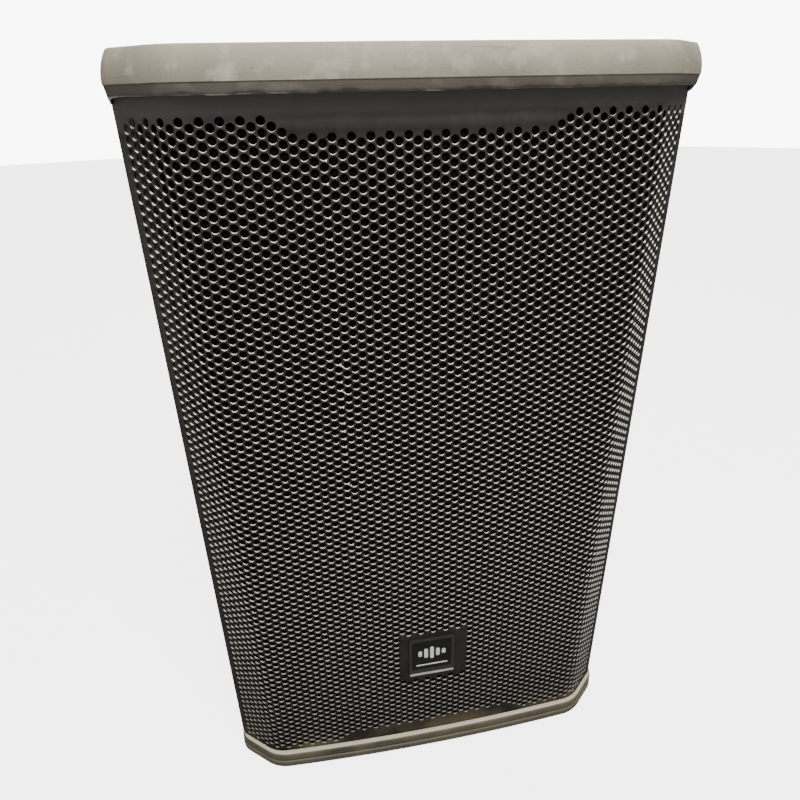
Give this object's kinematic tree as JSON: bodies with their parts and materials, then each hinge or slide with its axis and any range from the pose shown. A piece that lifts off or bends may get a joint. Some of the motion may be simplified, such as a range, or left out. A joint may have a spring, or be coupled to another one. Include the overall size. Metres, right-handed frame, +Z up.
{
  "type": "powered PA speaker cabinet",
  "caption": "Powered PA loudspeaker cabinet: bow-fronted perforated grille with folded wings, thick overhanging top cap, stepped plinth, carry handles, pole socket and rear amplifier panel.",
  "frame": {"origin": "on the floor under the middle of the cabinet", "axes": "+X to the right seen from the front, -Y out of the grille, +Z up"},
  "size_m": [0.4328, 0.358, 0.711],
  "materials": {
    "black_paint": "textured black paint on plywood",
    "raw_plywood": "bare birch plywood",
    "cap_plastic": "moulded plastic, dusty and worn",
    "plinth_plastic": "moulded plastic, dusty",
    "rubber": "matte",
    "black_plastic": "fine grain",
    "grip_metal": "black powder coat",
    "grille_paint": "black powder coat on perforated steel, dusty",
    "foam": "open-cell acoustic foam",
    "pale_trim": "satin",
    "steel": "zinc plated",
    "magnet": "ferrite and steel plates",
    "paper_cone": "coated paper",
    "linen": "resin-treated cloth",
    "copper": "enamelled copper wire",
    "circuit_board": "solder mask",
    "lamp": "translucent lens"
  },
  "bodies": {
    "cabinet": {"side_panel_left": "black_paint", "side_panel_right": "black_paint", "top_panel": "raw_plywood", "bottom_panel": "raw_plywood", "rear_panel": "black_paint", "front_baffle": "black_paint", "cross_brace": "raw_plywood", "top_cap": "cap_plastic", "bottom_plinth": "plinth_plastic", "rubber_foot_1": "rubber", "rubber_foot_2": "rubber", "rubber_foot_3": "rubber", "rubber_foot_4": "rubber", "pole_socket": "black_plastic", "top_handle_cup": "black_plastic", "top_handle_grip": "grip_metal", "side_handle_left": "black_plastic", "side_handle_right": "black_plastic", "grille": "grille_paint", "grille_foam": "foam", "badge_plate": "black_plastic", "badge_bar": "pale_trim", "fly_point_1": "steel", "fly_point_2": "steel", "fly_point_3": "steel", "plinth_screw": "steel", "woofer_basket": "grip_metal", "woofer_gasket": "rubber", "woofer_surround": "rubber", "woofer_spider": "linen", "woofer_magnet": "magnet", "horn": "black_plastic", "compression_driver": "magnet", "driver_rear_cover": "black_plastic", "port_tube_left": "black_plastic", "port_tube_right": "black_plastic", "amp_panel": "black_paint", "amp_heatsink": "grip_metal", "amp_tray": "steel", "circuit_board": "circuit_board", "power_transformer": "copper", "capacitor_1": "black_plastic", "capacitor_2": "black_plastic", "input_socket_1": "black_plastic", "input_socket_2": "black_plastic", "link_output": "black_plastic", "status_lamp": "lamp", "mains_inlet": "black_plastic", "rocker_frame": "black_plastic"},
    "woofer_moving": {"woofer_cone": "paper_cone", "woofer_dust_cap": "paper_cone", "voice_coil_former": "copper"},
    "level_knob_1": {"level_knob_1": "black_plastic"},
    "level_knob_2": {"level_knob_2": "black_plastic"},
    "mic_line_button_1": {"mic_line_button_1": "black_plastic"},
    "mic_line_button_2": {"mic_line_button_2": "black_plastic"},
    "contour_button": {"contour_button": "black_plastic"},
    "socket_latch_1": {"socket_latch_1": "steel"},
    "socket_latch_2": {"socket_latch_2": "steel"},
    "power_rocker": {"power_rocker": "black_plastic"}
  },
  "joints": [
    {"name": "woofer_stroke", "type": "slide", "parent": "cabinet", "child": "woofer_moving", "axis": [0, -1, 0], "range_m": [-0.006, 0.006], "stiffness_N_per_m": 5000},
    {"name": "power_switch", "type": "hinge", "parent": "cabinet", "child": "power_rocker", "pos_m": [0.012, 0.1683, 0.105], "axis": [-1, 0, 0], "range_deg": [0, 16]},
    {"name": "level_turn_1", "type": "hinge", "parent": "cabinet", "child": "level_knob_1", "pos_m": [0.07, 0.17, 0.235], "axis": [0, -1, 0], "range_deg": [-150, 150]},
    {"name": "mic_line_press_1", "type": "slide", "parent": "cabinet", "child": "mic_line_button_1", "axis": [0, -1, 0], "range_m": [0, 0.0015], "stiffness_N_per_m": 200},
    {"name": "latch_press_1", "type": "slide", "parent": "cabinet", "child": "socket_latch_1", "axis": [0, -1, 0], "range_m": [0, 0.002], "stiffness_N_per_m": 200},
    {"name": "level_turn_2", "type": "hinge", "parent": "cabinet", "child": "level_knob_2", "pos_m": [0.022, 0.17, 0.235], "axis": [0, -1, 0], "range_deg": [-150, 150]},
    {"name": "mic_line_press_2", "type": "slide", "parent": "cabinet", "child": "mic_line_button_2", "axis": [0, -1, 0], "range_m": [0, 0.0015], "stiffness_N_per_m": 200},
    {"name": "latch_press_2", "type": "slide", "parent": "cabinet", "child": "socket_latch_2", "axis": [0, -1, 0], "range_m": [0, 0.002], "stiffness_N_per_m": 200},
    {"name": "contour_press", "type": "slide", "parent": "cabinet", "child": "contour_button", "axis": [0, -1, 0], "range_m": [0, 0.0015], "stiffness_N_per_m": 200}
  ]
}
